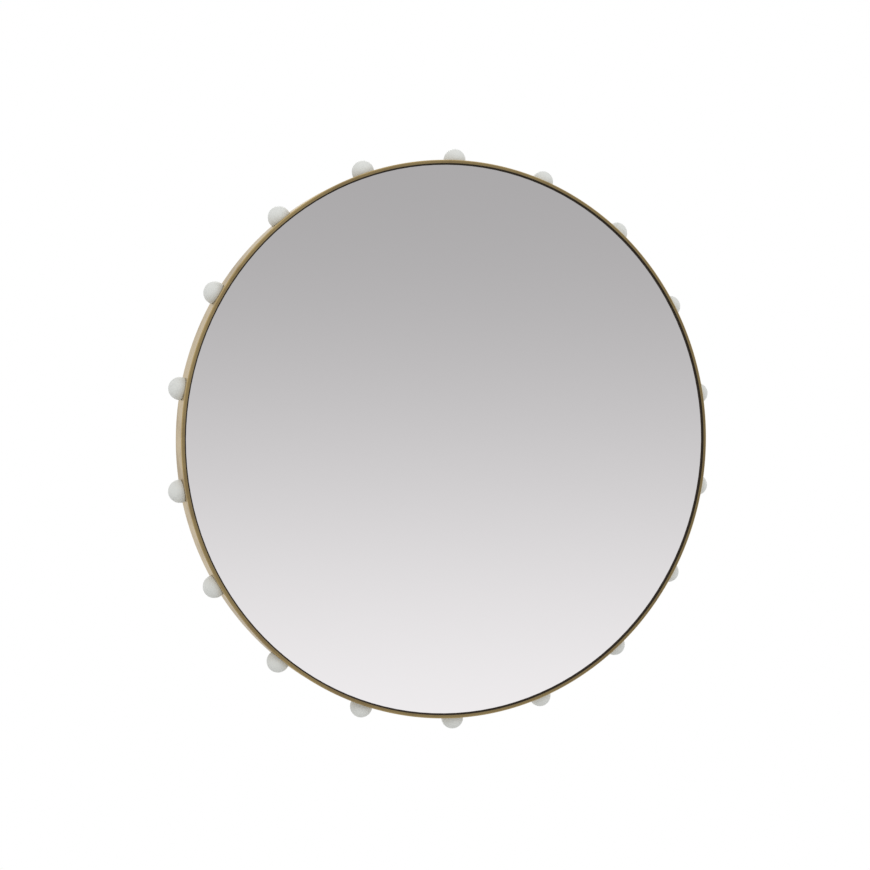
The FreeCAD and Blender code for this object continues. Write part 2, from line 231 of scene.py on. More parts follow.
class Graph:
    """A node tree in the making."""

    def __init__(self, tree):
        self.tree = tree

    def node(self, kind, setup=None, sockets=()):
        """Adds a node, sets it up, feeds its sockets by name or by place, and returns its first output."""
        node = self.tree.nodes.new(kind)
        for key, value in (setup or {}).items():
            setattr(node, key, value)
        pairs = sockets.items() if isinstance(sockets, dict) else enumerate(sockets)
        for key, value in pairs:
            for item in value if isinstance(value, list) else [value]:
                self.feed(node.inputs[key], item)
        shown = [socket for socket in node.outputs if socket.enabled]
        return Link(self, shown[0]) if shown else None

    def feed(self, socket, value):
        if isinstance(value, Link):
            self.tree.links.new(value.socket, socket)
        else:
            socket.default_value = value

    def math(self, operation, *values):
        return self.node("ShaderNodeMath", {"operation": operation}, values)

    def mix(self, factor, first, second):
        """Colour between two colours."""
        ends = [value if isinstance(value, Link) else (*value, 1.0) for value in (first, second)]
        return self.node("ShaderNodeMix", {"data_type": "RGBA"}, {0: factor, 6: ends[0], 7: ends[1]})

    def vector(self, operation, *values):
        return self.node("ShaderNodeVectorMath", {"operation": operation}, values)

    def split(self, vector):
        parts = self.node("ShaderNodeSeparateXYZ", {}, [vector])
        return parts["X"], parts["Y"], parts["Z"]

    def combine(self, *values):
        return self.node("ShaderNodeCombineXYZ", {}, values)

    def place(self):
        """Place of the shaded point in the shared frame, which is every piece's own."""
        return self.node("ShaderNodeTexCoord")["Object"]

    def noise(self, vector, scale, detail=2.0, roughness=0.5, distortion=0.0):
        sockets = {
            "Vector": vector,
            "Scale": scale,
            "Detail": detail,
            "Roughness": roughness,
            "Distortion": distortion,
        }
        return self.node("ShaderNodeTexNoise", {}, sockets)

    def bump(self, height, distance):
        return self.node("ShaderNodeBump", {}, {"Height": height, "Distance": distance})


# ---- Materials ----
def make_material(name, recipe):
    """Material whose recipe gives the sockets of one Principled shader."""
    made = bpy.data.materials.new(name)
    made.use_nodes = True
    made.node_tree.nodes.clear()
    graph = Graph(made.node_tree)
    shader = graph.node("ShaderNodeBsdfPrincipled", {}, recipe(graph))
    graph.node("ShaderNodeOutputMaterial", {}, {"Surface": shader})
    return made


def material(name):
    """The finish of that name, made when a piece first needs it."""
    return bpy.data.materials.get(name) or make_material(name, RECIPES[name])


def about_hoop(graph):
    """Arc length, radius and depth on the hoop. The arc starts opposite the weld and wraps at it."""
    hoop = settings().hoop
    turn = {"Vector": graph.place(), "Angle": math.pi - hoop.weld_clock}
    x, y, z = graph.split(graph.node("ShaderNodeVectorRotate", {"rotation_type": "Y_AXIS"}, turn))
    radius = (x * x + z * z).math("SQRT")
    arc = x.math("ARCTAN2", z) * hoop.radius
    return arc, radius, y


def rubbed_brass(graph):
    """Brushed brass under a rubbed patina, brighter on its worn edges, duller beside the ground weld, and with
    painted shade at the lip's inner edge.
    """
    hoop = settings().hoop
    finish = settings().finish
    arc, radius, depth = about_hoop(graph)
    place = graph.place()

    def streaks(along, across, **noise):
        """Noise drawn out along the hoop, in streaks of that length and width."""
        return graph.noise(graph.combine(arc / along, radius / across, depth / across), 1.0, **noise)

    grain = streaks(45.0 * MM, 0.45 * MM, detail=3.0, roughness=0.6)
    fine = streaks(12.0 * MM, 0.16 * MM, detail=1.0)
    clouds = graph.noise(place, 9.0, detail=4.0, roughness=0.62, distortion=0.6)
    mottle = graph.noise(place, 95.0, detail=3.0, roughness=0.6)

    front = HOOP_LOW.y
    corner = 1.6 * hoop.front_corner
    rounded = radius.rise(hoop.radius - corner, hoop.radius) * depth.rise(front + corner, front)
    worn = rounded * (0.2 + mottle * 0.8)
    lip_inner = hoop.radius - hoop.lip_width
    lip_back = front + hoop.lip_thickness
    # Painted shade: the dark wax band along the lip's inner edge and down its inner wall stands for the shade
    # in the gap to the glass.
    shaded_lip_band = radius.rise(lip_inner + finish.shade_band_width * 1.3, lip_inner + finish.shade_band_width * 0.7)
    shaded_lip_band = shaded_lip_band * depth.rise(lip_back + hoop.lip_thickness, lip_back)

    away = arc.math("ABSOLUTE")
    half_round = math.pi * hoop.radius
    weld = away.rise(half_round - 1.1 * MM, half_round - 0.3 * MM)
    ground = away.rise(half_round - 9.0 * MM, half_round - 5.0 * MM)

    age = (clouds - 0.42).rise(0.0, 0.25) * 0.55 + (mottle - 0.5) * 0.5 + (grain - 0.5) * 0.5
    age = (age + ground * 0.12 + weld * 0.5 - worn * 0.35).math("MAXIMUM", 0.0).math("MINIMUM", 1.0)
    # Where the lip's painted shade lies, the brass is also made near-black, less metallic and rougher.
    return {
        "Base Color": graph.mix(shaded_lip_band, graph.mix(age, finish.brass, finish.patina), finish.lip_shade),
        "Metallic": 1.0 - shaded_lip_band * 0.6,
        "Roughness": 0.31 + age * 0.16 + (fine - 0.5) * 0.10 - ground * 0.05 + shaded_lip_band * 0.2,
        "Normal": graph.bump(grain * 0.7 + fine * 0.3 + weld * 0.4, 0.03 * MM),
    }


def honed_marble(graph):
    """White marble: soft clouds, thin wandering veins and a faint crystal sparkle in the honed skin."""
    finish = settings().finish
    place = graph.place()
    drift = graph.noise(place, 34.0, detail=3.0)["Color"]
    bent = graph.vector("MULTIPLY_ADD", drift, (22.0 * MM,) * 3, place)
    thick = graph.noise(bent, 42.0, detail=2.0, roughness=0.45).band(0.5, 0.030)
    thin = graph.noise(bent, 85.0, detail=3.0, roughness=0.5).band(0.52, 0.018)
    fade = graph.noise(place, 26.0, detail=1.0).rise(0.42, 0.62)
    clouds = graph.noise(bent, 30.0, detail=4.0, roughness=0.6)
    crystal = graph.noise(place, 1400.0, detail=2.0, roughness=0.7)
    veins = (thick * 0.75 + thin * 0.45) * fade
    tone = veins * finish.vein_strength * 2.0 + (clouds - 0.45).rise(0.0, 0.3) * 0.14
    return {
        "Base Color": graph.mix(tone.math("MINIMUM", 1.0), finish.marble, finish.vein),
        "Roughness": 0.42 + (crystal - 0.5) * 0.12 + veins * 0.06,
        "Normal": graph.bump(crystal * 0.3 + veins * -0.4, 0.01 * MM),
    }


def silvered_glass(graph):
    """Mirror on the front face, green glass at the edge and grey backing paint behind."""
    place = graph.place()
    depth = graph.split(place)[1]
    behind = depth.rise(GLASS_LOW.y + 0.1 * MM, GLASS_LOW.y + 0.2 * MM)
    painted = depth.rise(GLASS_HIGH.y - 0.2 * MM, GLASS_HIGH.y - 0.1 * MM)
    roller = graph.noise(place, 420.0, detail=3.0)
    edge = graph.mix(painted, (0.16, 0.33, 0.27), (0.20, 0.21, 0.22))
    return {
        "Base Color": graph.mix(behind, settings().finish.silver, edge),
        "Metallic": 1.0 - behind,
        "Roughness": behind * (0.12 + painted * (0.35 + roller * 0.25)),
    }


def foam_seal(graph):
    """Closed-cell black foam tape."""
    cells = graph.noise(graph.place(), 2600.0, detail=2.0)
    return {
        "Base Color": graph.mix(cells, (0.026, 0.018, 0.010), (0.048, 0.033, 0.019)),
        "Roughness": 0.9 + cells * 0.1,
        "Normal": graph.bump(cells, 0.1 * MM),
    }


def white_foam(graph):
    """Double-sided foam tape."""
    cells = graph.noise(graph.place(), 2200.0, detail=2.0)
    return {
        "Base Color": graph.mix(cells, (0.72, 0.72, 0.70), (0.82, 0.82, 0.80)),
        "Roughness": 0.8,
        "Normal": graph.bump(cells, 0.1 * MM),
    }


def painted_board(graph):
    """Fibreboard under thin black paint: orange peel, raised fibres and a few rubbed places."""
    paint = settings().finish.paint
    place = graph.place()
    peel = graph.noise(place, 700.0, detail=3.0, roughness=0.55)
    fibres = graph.noise(graph.vector("MULTIPLY", place, (1.0, 1.0, 2.6)), 310.0, detail=4.0, roughness=0.7)
    rubbed = graph.noise(place, 7.0, detail=5.0, roughness=0.65, distortion=0.8).rise(0.52, 0.74)
    tone = rubbed * 0.5 + (fibres - 0.5) * 0.4
    return {
        "Base Color": graph.mix(tone.math("MAXIMUM", 0.0), paint, (0.062, 0.058, 0.053)),
        "Roughness": 0.62 + rubbed * 0.14 + (peel - 0.5) * 0.2,
        "Normal": graph.bump(peel * 0.4 + fibres * 0.6, 0.12 * MM),
    }


def painted_softwood(graph):
    """Softwood rail under black paint, with the grain standing through and bare wood at rubbed arrises."""
    paint = settings().finish.paint
    place = graph.place()
    wander = graph.noise(graph.vector("MULTIPLY", place, (1.6, 9.0, 9.0)), 1.0, detail=2.0)
    _, y, z = graph.split(place)
    rings = (z * 210.0 + y * 95.0 + wander * 9.0).math("SINE") * 0.5 + 0.5
    pores = graph.noise(graph.vector("MULTIPLY", place, (38.0, 900.0, 900.0)), 1.0, detail=3.0)
    rubbed = graph.noise(place, 16.0, detail=4.0, roughness=0.65).rise(0.58, 0.78)
    tone = rings * 0.18 + rubbed * 0.45
    return {
        "Base Color": graph.mix(tone, paint, (0.075, 0.066, 0.055)),
        "Roughness": 0.55 + pores * 0.15 + rubbed * 0.1,
        "Normal": graph.bump(rings * 0.5 + pores * 0.5, 0.16 * MM),
    }


def plated_steel(graph, bright, dull, grain_scale, roughness):
    """Plated steel with fine tumbling marks and a cloudy film."""
    place = graph.place()
    cloud = graph.noise(place, 160.0, detail=3.0, roughness=0.6)
    marks = graph.noise(place, grain_scale, detail=2.0, distortion=1.4)
    return {
        "Base Color": graph.mix(cloud, bright, dull),
        "Metallic": 1.0,
        "Roughness": roughness + (cloud - 0.5) * 0.16 + (marks - 0.5) * 0.14,
        "Normal": graph.bump(marks, 0.02 * MM),
    }


def zinc_plate(graph):
    return plated_steel(graph, (0.62, 0.64, 0.65), (0.44, 0.46, 0.47), 2400.0, 0.34)


def nickel_plate(graph):
    return plated_steel(graph, (0.70, 0.68, 0.64), (0.56, 0.54, 0.50), 1800.0, 0.24)


def turned_brass(graph):
    return plated_steel(graph, (0.80, 0.60, 0.27), (0.62, 0.45, 0.19), 2600.0, 0.26)


def dusty_rubber(graph):
    """Matt black rubber with a dusty bloom."""
    place = graph.place()
    bloom = graph.noise(place, 240.0, detail=4.0, roughness=0.65)
    grit = graph.noise(place, 3200.0, detail=1.0)
    return {
        "Base Color": graph.mix(bloom, (0.016, 0.016, 0.016), (0.045, 0.044, 0.042)),
        "Roughness": 0.72 + bloom * 0.16,
        "Normal": graph.bump(grit, 0.08 * MM),
    }


def studio_floor(graph):
    """Pale matt floor with a barely visible trowelled tone."""
    floor = settings().studio.floor
    tone = graph.noise(graph.place(), 1.3, detail=4.0, roughness=0.55)
    return {
        "Base Color": graph.mix(tone, [part * 0.97 for part in floor], floor),
        "Roughness": 0.7 + tone * 0.1,
        "Normal": graph.bump(tone, 0.4 * MM),
    }


RECIPES = {
    "rubbed_brass": rubbed_brass,
    "honed_marble": honed_marble,
    "silvered_glass": silvered_glass,
    "foam_seal": foam_seal,
    "white_foam": white_foam,
    "painted_board": painted_board,
    "painted_softwood": painted_softwood,
    "zinc_plate": zinc_plate,
    "nickel_plate": nickel_plate,
    "turned_brass": turned_brass,
    "dusty_rubber": dusty_rubber,
    "studio_floor": studio_floor,
}


# ---- Geometry trees ----
DRILL_SIDES = 32


class PieceTree(Graph):
    """A geometry tree with named inputs, which ends in Realize Instances and Set Material."""

    def __init__(self, name, inputs):
        super().__init__(bpy.data.node_groups.new(name, "GeometryNodeTree"))
        for label, kind in {"Geometry": "Geometry", **inputs, "Material": "Material"}.items():
            self.tree.interface.new_socket(label, in_out="INPUT", socket_type=f"NodeSocket{kind}")
        self.tree.interface.new_socket("Geometry", in_out="OUTPUT", socket_type="NodeSocketGeometry")
        self.given = self.node("NodeGroupInput")

    def end(self, geometry):
        whole = self.node("GeometryNodeRealizeInstances", {}, {"Geometry": geometry})
        sockets = {"Geometry": whole, "Material": self.given["Material"]}
        self.node("NodeGroupOutput", {}, [self.node("GeometryNodeSetMaterial", {}, sockets)])
        return self.tree

    def moved(self, geometry, translation=(0.0, 0.0, 0.0), rotation=(0.0, 0.0, 0.0)):
        sockets = {"Geometry": geometry, "Translation": translation, "Rotation": rotation}
        return self.node("GeometryNodeTransform", {}, sockets)

    def outline(self):
        """The outline that the tree is given, as a curve."""
        return self.node("GeometryNodeMeshToCurve", {}, [self.given["Geometry"]])

    def circle(self, radius, steps):
        return self.node("GeometryNodeCurvePrimitiveCircle", {}, {"Resolution": steps, "Radius": radius})

    def swept(self, section, path):
        return self.node("GeometryNodeCurveToMesh", {}, {"Curve": path, "Profile Curve": section})

    def drill(self, radius, depth, place):
        """A cylinder along Z, centred on a place."""
        sockets = {"Vertices": DRILL_SIDES, "Radius": radius, "Depth": depth}
        return self.moved(self.node("GeometryNodeMeshCylinder", {}, sockets), place)

    def cut(self, geometry, *tools):
        """What the tools leave of a geometry."""
        exact = {"operation": "DIFFERENCE", "solver": "EXACT"}
        return self.node("GeometryNodeMeshBoolean", exact, {"Mesh 1": geometry, "Mesh 2": list(tools)})

    def round_the_hoop(self, geometry, count, first_clock):
        """Copies of what stands at the top, spaced evenly about the hoop's axis."""
        points = self.node("GeometryNodeMeshLine", {}, {"Count": count, "Offset": (0.0, 0.0, 0.0)})
        clock = first_clock + self.node("GeometryNodeInputIndex") * (2 * math.pi / count)
        sockets = {"Points": points, "Instance": geometry, "Rotation": self.combine(0.0, clock, 0.0)}
        return self.node("GeometryNodeInstanceOnPoints", {}, sockets)


def tree_of(name, build):
    """The geometry tree of that name, built when it is first needed."""
    return bpy.data.node_groups.get(name) or build(name)


def drilled_hoop_tree(name):
    """Turns a section about the hoop's axis and drills it round for the ball screws."""
    inputs = {
        "Path radius": "Float",
        "Steps": "Int",
        "Holes": "Int",
        "Hole radius": "Float",
        "Hole length": "Float",
        "Hole depth": "Float",
    }
    tree = PieceTree(name, inputs)
    given = tree.given
    path = tree.circle(given["Path radius"], given["Steps"])
    path = tree.node("GeometryNodeSetCurveNormal", {"mode": "Z_UP"}, [path])
    hoop = tree.moved(tree.swept(tree.outline(), path), rotation=(math.pi / 2, 0.0, 0.0))
    top = tree.combine(0.0, given["Hole depth"], given["Path radius"])
    drill = tree.drill(given["Hole radius"], given["Hole length"], top)
    drills = tree.round_the_hoop(drill, given["Holes"], 0.0)
    drills = tree.node("GeometryNodeRealizeInstances", {}, {"Geometry": drills})
    return tree.end(tree.cut(hoop, drills))


def marble_ball_tree(name):
    """A ball ground flat on its seat and drilled for its insert, at its own clock angle."""
    inputs = {
        "Radius": "Float",
        "Standoff": "Float",
        "Seat radius": "Float",
        "Depth": "Float",
        "Hole radius": "Float",
        "Hole depth": "Float",
        "Clock": "Float",
        "Steps": "Int",
    }
    tree = PieceTree(name, inputs)
    given = tree.given
    radius, seat, depth = given["Radius"], given["Seat radius"], given["Depth"]
    sphere = {"Segments": given["Steps"], "Rings": given["Steps"] * 0.5, "Radius": radius}
    sphere = tree.node("GeometryNodeMeshUVSphere", {}, sphere)
    sphere = tree.moved(sphere, tree.combine(0.0, depth, seat + given["Standoff"]))
    block = {"Size": tree.combine(radius * 3, radius * 3, radius * 3)}
    grinder = tree.node("GeometryNodeMeshCube", {}, block)
    grinder = tree.moved(grinder, tree.combine(0.0, depth, seat - radius * 1.5))
    drill = tree.drill(given["Hole radius"], given["Hole depth"] * 2, tree.combine(0.0, depth, seat))
    ball = tree.cut(sphere, grinder, drill)
    return tree.end(tree.moved(ball, rotation=tree.combine(0.0, given["Clock"], 0.0)))


def bent_wire_tree(name):
    """Round wire that follows a closed path."""
    tree = PieceTree(name, {"Wire radius": "Float", "Steps": "Int"})
    section = tree.circle(tree.given["Wire radius"], tree.given["Steps"])
    return tree.end(tree.swept(section, tree.outline()))


def round_the_hoop_tree(name):
    """Repeats a piece that stands at the top of the hoop."""
    tree = PieceTree(name, {"Count": "Int", "First clock": "Float"})
    given = tree.given
    return tree.end(tree.round_the_hoop(given["Geometry"], given["Count"], given["First clock"]))


def in_rows_tree(name):
    """Repeats a piece across and up a rail, centred on where it stands."""
    tree = PieceTree(name, {"Columns": "Int", "Rows": "Int", "Width": "Float", "Height": "Float"})
    given = tree.given
    grid = {
        "Size X": given["Width"],
        "Size Y": given["Height"],
        "Vertices X": given["Columns"],
        "Vertices Y": given["Rows"],
    }
    points = tree.node("GeometryNodeMeshGrid", {}, grid)
    points = tree.moved(points, rotation=(math.pi / 2, 0.0, 0.0))
    copies = {"Points": points, "Instance": given["Geometry"]}
    return tree.end(tree.node("GeometryNodeInstanceOnPoints", {}, copies))


# ---- Pieces ----
SHARP_ANGLE = math.radians(32.0)
MERGE_DISTANCE = 1e-6
SAME_POINT = 1e-7


def add_object(name, data):
    thing = bpy.data.objects.new(name, data)
    bpy.context.scene.collection.objects.link(thing)
    return thing


def outline_mesh(name, points):
    """Closed outline as a mesh of edges."""
    mesh = bpy.data.meshes.new(name)
    edges = [(i, (i + 1) % len(points)) for i in range(len(points))]
    mesh.from_pydata(points, edges, [])
    return mesh


def run_tree(name, mesh, tree, values, finish):
    """Plain mesh object that a geometry tree makes from a mesh and its named values."""
    maker = add_object(f"{name}_maker", mesh)
    modifier = maker.modifiers.new("Shape", "NODES")
    modifier.node_group = tree
    given = {**values, "Material": material(finish)}
    for item in tree.interface.items_tree:
        if item.in_out == "INPUT" and item.name in given:
            modifier[item.identifier] = given[item.name]
    shape = bpy.data.meshes.new_from_object(maker.evaluated_get(bpy.context.evaluated_depsgraph_get()))
    bpy.data.objects.remove(maker)
    shape.name = name
    return finished(add_object(name, shape))


def finished(piece):
    """Merges doubles, turns every face outwards and shades the piece smooth between its sharp edges."""
    mesh = piece.data
    if not mesh.polygons:
        raise RuntimeError(f"{piece.name} has no faces")
    work = bmesh.new()
    work.from_mesh(mesh)
    bmesh.ops.remove_doubles(work, verts=work.verts, dist=MERGE_DISTANCE)
    bmesh.ops.recalc_face_normals(work, faces=work.faces)
    work.to_mesh(mesh)
    work.free()
    mesh.shade_smooth()
    mesh.set_sharp_from_angle(angle=SHARP_ANGLE)
    return piece


def settle(piece, body, slot, *nodes):
    """Gives a new piece its body and hides the nodes that it stands for. The slot is not used."""
    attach(piece, body)
    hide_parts(*nodes)


def dress(nodes, finish):
    """Gives kept nodes their finish."""
    for name in nodes:
        for slot in frame["nodes"][name].material_slots:
            slot.material = material(finish)


def rounded_outline(corners, steps=6, support=0.0):
    """Points of a closed flat outline. Each corner is (across, along, radius), and a support point beyond
    each arc keeps the shading of the flats beside it true."""
    points = []
    for i, (across, along, radius) in enumerate(corners):
        here = Vector((across, along))
        to_last = (Vector(corners[i - 1][:2]) - here).normalized()
        to_next = (Vector(corners[(i + 1) % len(corners)][:2]) - here).normalized()
        if radius == 0:
            points.append(here)
            continue
        half_angle = to_last.angle(to_next) / 2
        reach = radius / math.tan(half_angle)
        centre = here + (to_last + to_next).normalized() * (radius / math.sin(half_angle))
        start, end = (here + way * reach - centre for way in (to_last, to_next))
        sweep = math.copysign(math.pi - 2 * half_angle, start.cross(end))
        arc = [centre + Matrix.Rotation(sweep * step / steps, 2) @ start for step in range(steps + 1)]
        if support:
            arc = [here + to_last * (reach + support), *arc, here + to_next * (reach + support)]
        points += arc
    return [point for i, point in enumerate(points) if (point - points[i - 1]).length > SAME_POINT]


def build_hoop():
    hoop = settings().hoop
    inner = hoop.radius - hoop.wall
    lip_inner = hoop.radius - hoop.lip_width
    back, front = HOOP_HIGH.y, HOOP_HIGH.y - hoop.depth
    lip_back = front + hoop.lip_thickness
    section = rounded_outline(
        [
            (hoop.radius, back, hoop.rim_corner),
            (hoop.radius, front, hoop.front_corner),
            (lip_inner, front, hoop.lip_edge),
            (lip_inner, lip_back, 0.0),
            (inner, lip_back, 0.0),
            (inner, back, hoop.rim_corner),
        ],
        support=0.2 * MM,
    )
    path_radius = inner + hoop.wall / 2
    mesh = outline_mesh("hoop_section", [(point.x - path_radius, point.y, 0.0) for point in section])
    values = {
        "Path radius": path_radius,
        "Steps": hoop.steps,
        "Holes": len(BALL_NODES),
        "Hole radius": hoop.screw_hole,
        "Hole length": 3 * hoop.wall,
        "Hole depth": BALL_DEPTH,
    }
    tree = tree_of("Drilled hoop", drilled_hoop_tree)
    piece = run_tree("brass_hoop", mesh, tree, values, "rubbed_brass")
    settle(piece, FIXED_BODY, "antique_brass", "frame_hoop")


def build_balls():
    ball = settings().ball
    hoop = settings().hoop
    tree = tree_of("Marble ball", marble_ball_tree)
    for number, node in enumerate(BALL_NODES):
        values = {
            "Radius": ball.radius,
            "Standoff": TOP_BALL_HIGH.z - ball.radius - hoop.radius,
            "Seat radius": hoop.radius,
            "Depth": BALL_DEPTH,
            "Hole radius": ball.insert_hole,
            "Hole depth": ball.insert_depth,
            "Clock": number * 2 * math.pi / len(BALL_NODES),
            "Steps": ball.steps,
        }
        name = node.replace("marble_ball", "honed_ball")
        mesh = bpy.data.meshes.new(name)
        settle(run_tree(name, mesh, tree, values, "honed_marble"), FIXED_BODY, "marble", node)


def build_hanger_rings():
    hanger = settings().hanger
    half = hanger.inside_width / 2 + hanger.wire
    drop = hanger.inside_height + 2 * hanger.wire
    bend = hanger.inside_corner + hanger.wire
    corners = [(-half, 0.0, bend), (half, 0.0, bend), (half, -drop, half), (-half, -drop, half)]
    path = rounded_outline(corners, steps=14)
    tree = tree_of("Bent wire", bent_wire_tree)
    values = {"Wire radius": hanger.wire, "Steps": hanger.steps}
    for side, body in RING_BODIES.items():
        hinge = HINGES[body]
        lean = math.asin((RING_BACK - hanger.wire - hinge.y) / drop)
        points = [hinge + Vector((p.x, -p.y * math.sin(lean), p.y * math.cos(lean))) for p in path]
        piece = run_tree(f"wire_ring_{side}", outline_mesh("ring_path", points), tree, values, "nickel_plate")
        settle(piece, body, "hanger_steel", f"hanger_ring_{side}")


# ---- Screws ----
RECESS_STEPS = 24
RECESS_STEP = 2 * math.pi / RECESS_STEPS
FROM_REAR = (-math.pi / 2, 0.0, 0.0)
FROM_INSIDE = (math.pi, 0.0, 0.0)


def cross_outline(reach, half_width):
    """A cross recess: six points to each arm, starting beside the arm that points along the first axis."""
    arm = [
        (reach, -half_width),
        (reach, 0.0),
        (reach, half_width),
        ((reach + half_width) / 2, half_width),
        (half_width, half_width),
        (half_width, (reach + half_width) / 2),
    ]
    spins = [Matrix.Rotation(k * math.pi / 2, 2) for k in range(4)]
    return [spin @ Vector(point) for spin in spins for point in arm]


def hexagon_outline(radius, sides=6):
    """A hexagon socket with its sides divided to match the rings round it."""
    turns = [2 * math.pi * k / sides - RECESS_STEP for k in range(sides + 1)]
    corners = [Matrix.Rotation(turn, 2) @ Vector((radius, 0.0)) for turn in turns]
    per_side = RECESS_STEPS // sides
    return [corners[k].lerp(corners[k + 1], j / per_side) for k in range(sides) for j in range(per_side)]


def screw_mesh(name, rings, recess, levels):
    """Closed screw. The rings are (radius, height) from the tip to the head's top, and the recess outline is
    then carried down by (scale, height) levels. Both start one step before the first axis."""
    work = bmesh.new()
    loops = []
    turns = [RECESS_STEP * (i - 1) for i in range(RECESS_STEPS)]
    for radius, height in rings:
        spots = [(radius * math.cos(turn), radius * math.sin(turn), height) for turn in turns]
        loops.append([work.verts.new(spot) for spot in spots])
    for scale, height in levels:
        loops.append([work.verts.new((point.x * scale, point.y * scale, height)) for point in recess])
    for lower, upper in zip(loops, loops[1:]):
        for i in range(RECESS_STEPS):
            j = (i + 1) % RECESS_STEPS
            work.faces.new((lower[i], lower[j], upper[j], upper[i]))
    work.faces.new(reversed(loops[0]))
    work.faces.new(loops[-1])
    mesh = bpy.data.meshes.new(name)
    work.to_mesh(mesh)
    work.free()
    return mesh


def shank_rings(shank, reach, tip, top):
    """A plain shank, from its blunt tip to where the head starts."""
    return [(shank * 0.4, -reach), (shank, tip - reach), (shank, top)]


def recess_levels(top, depth):
    """A recess that tapers a little and ends in a blunt point."""
    return [(1.0, top), (0.9, top - depth * 0.75), (0.4, top - depth)]


def domed_screw(name, shank, reach, tip, head, height, recess, recess_depth):
    """Pan or button head on a plain shank, with its seat at the origin and its head up."""
    rounding = height * 0.75
    dome = [math.radians(turn) for turn in (0, 22, 45, 67, 90)]
    rings = shank_rings(shank, reach, tip, 0.0) + [(head, 0.0)]
    for turn in dome:
        rings.append((head - rounding * (1 - math.cos(turn)), height - rounding * (1 - math.sin(turn))))
    return screw_mesh(name, rings, recess, recess_levels(height, recess_depth))


def countersunk_screw(name, shank, reach, tip, head, depth, recess, recess_depth):
    """Countersunk head with a thin rim, flush with the origin."""
    rings = shank_rings(shank, reach, tip, -depth) + [(head, -0.15 * MM), (head, 0.0)]
    return screw_mesh(name, rings, recess, recess_levels(0.0, recess_depth))


def placed(mesh, place, rotation):
    mesh.transform(Matrix.Translation(place) @ Euler(rotation).to_matrix().to_4x4())
    return mesh


def repeat_screw(name, node, screw, tree, values):
    """Repeats a seated screw, and lets the copies stand for their node."""
    settle(run_tree(name, screw, tree, values, "zinc_plate"), FIXED_BODY, "zinc_steel", node)


def screws_round_the_hoop(name, node, screw, count, first_clock):
    """Screws spaced evenly about the hoop's axis, from one that is seated at the top."""
    tree = tree_of("Round the hoop", round_the_hoop_tree)
    repeat_screw(name, node, screw, tree, {"Count": count, "First clock": first_clock})


def screws_in_rows(name, node, screw, head, seat_depth, columns, rows):
    """Screws spread over the box of the node that they stand for, from one that is seated in its middle."""
    low, high = box_of(node)
    middle = (low + high) / 2
    values = {
        "Columns": columns,
        "Rows": rows,
        "Width": high.x - low.x - 2 * head,
        "Height": high.z - low.z - 2 * head if rows > 1 else 0.0,
    }
    screw = placed(screw, Vector((middle.x, seat_depth, middle.z)), FROM_REAR)
    repeat_screw(name, node, screw, tree_of("In rows", in_rows_tree), values)


def build_ball_screws():
    """Button heads with hexagon sockets, driven outwards from inside the hoop."""
    low, high = box_of("ball_screws")
    reach = 14.0 * MM
    screw = domed_screw(
        "ball_screw",
        shank=2.5 * MM,
        reach=reach,
        tip=0.75 * MM,
        head=4.7 * MM,
        height=2.7 * MM,
        recess=hexagon_outline(1.75 * MM),
        recess_depth=1.7 * MM,
    )
    screw = placed(screw, Vector((0.0, (low.y + high.y) / 2, high.z - reach)), FROM_INSIDE)
    screws_round_the_hoop("ball_socket_screws", "ball_screws", screw, len(BALL_NODES), 0.0)


def build_tab_screws():
    """Pan heads through the retaining tabs."""
    high = box_of("tab_screws")[1]
    head, height = 3.5 * MM, 2.2 * MM
    screw = domed_screw(
        "tab_screw",
        shank=1.75 * MM,
        reach=9.0 * MM,
        tip=3.5 * MM,
        head=head,
        height=height,
        recess=cross_outline(1.9 * MM, 0.45 * MM),
        recess_depth=1.3 * MM,
    )
    screw = placed(screw, Vector((0.0, high.y - height, high.x - head)), FROM_REAR)
    screws_round_the_hoop("tab_cross_screws", "tab_screws", screw, len(TAB_NODES), math.radians(30.0))


def build_rail_screws():
    """Countersunk heads, flush with the rails."""
    head = 4.0 * MM
    screw = countersunk_screw(
        "rail_screw",
        shank=2.0 * MM,
        reach=20.0 * MM,
        tip=4.0 * MM,
        head=head,
        depth=2.4 * MM,
        recess=cross_outline(2.1 * MM, 0.5 * MM),
        recess_depth=1.8 * MM,
    )
    screws_in_rows("rail_cross_screws", "rail_screws", screw, head, RAIL_BACK, columns=3, rows=2)


def build_hanger_screws():
    """Pan heads in the hanger straps and in the bumpers."""
    head, height = 3.8 * MM, 2.3 * MM
    for name, node, rows in (
        ("hanger_cross_screws", "hanger_screws", 2),
        ("bumper_cross_screws", "bumper_screws", 1),
    ):
        screw = domed_screw(
            name,
            shank=2.0 * MM,
            reach=12.0 * MM,
            tip=4.0 * MM,
            head=head,
            height=height,
            recess=cross_outline(2.1 * MM, 0.5 * MM),
            recess_depth=1.5 * MM,
        )
        screws_in_rows(name, node, screw, head, box_of(node)[1].y - height, columns=2, rows=rows)


# ---- Studio ----
SENSOR_WIDTH = 36.0
PHOTOGRAPH_MIDDLE = Vector((-0.0402, HOOP_LOW.y, 0.0074))
# Name, place, width, and power as a share of the key light's
SOFTBOXES = (
    ("key_softbox", (-1.6, -2.6, 2.4), 1.8, 1.0),
    ("fill_softbox", (2.8, -2.2, 1.6), 1.6, 0.4),
    ("rear_softbox", (0.5, 2.6, 2.2), 1.6, 0.4),
)
FLOOR_SIDE, FLOOR_NEAR, FLOOR_FAR = 3.2, -4.2, 2.4


def look_at(thing, target):
    thing.rotation_euler = (target - thing.location).to_track_quat("-Z", "Y").to_euler()


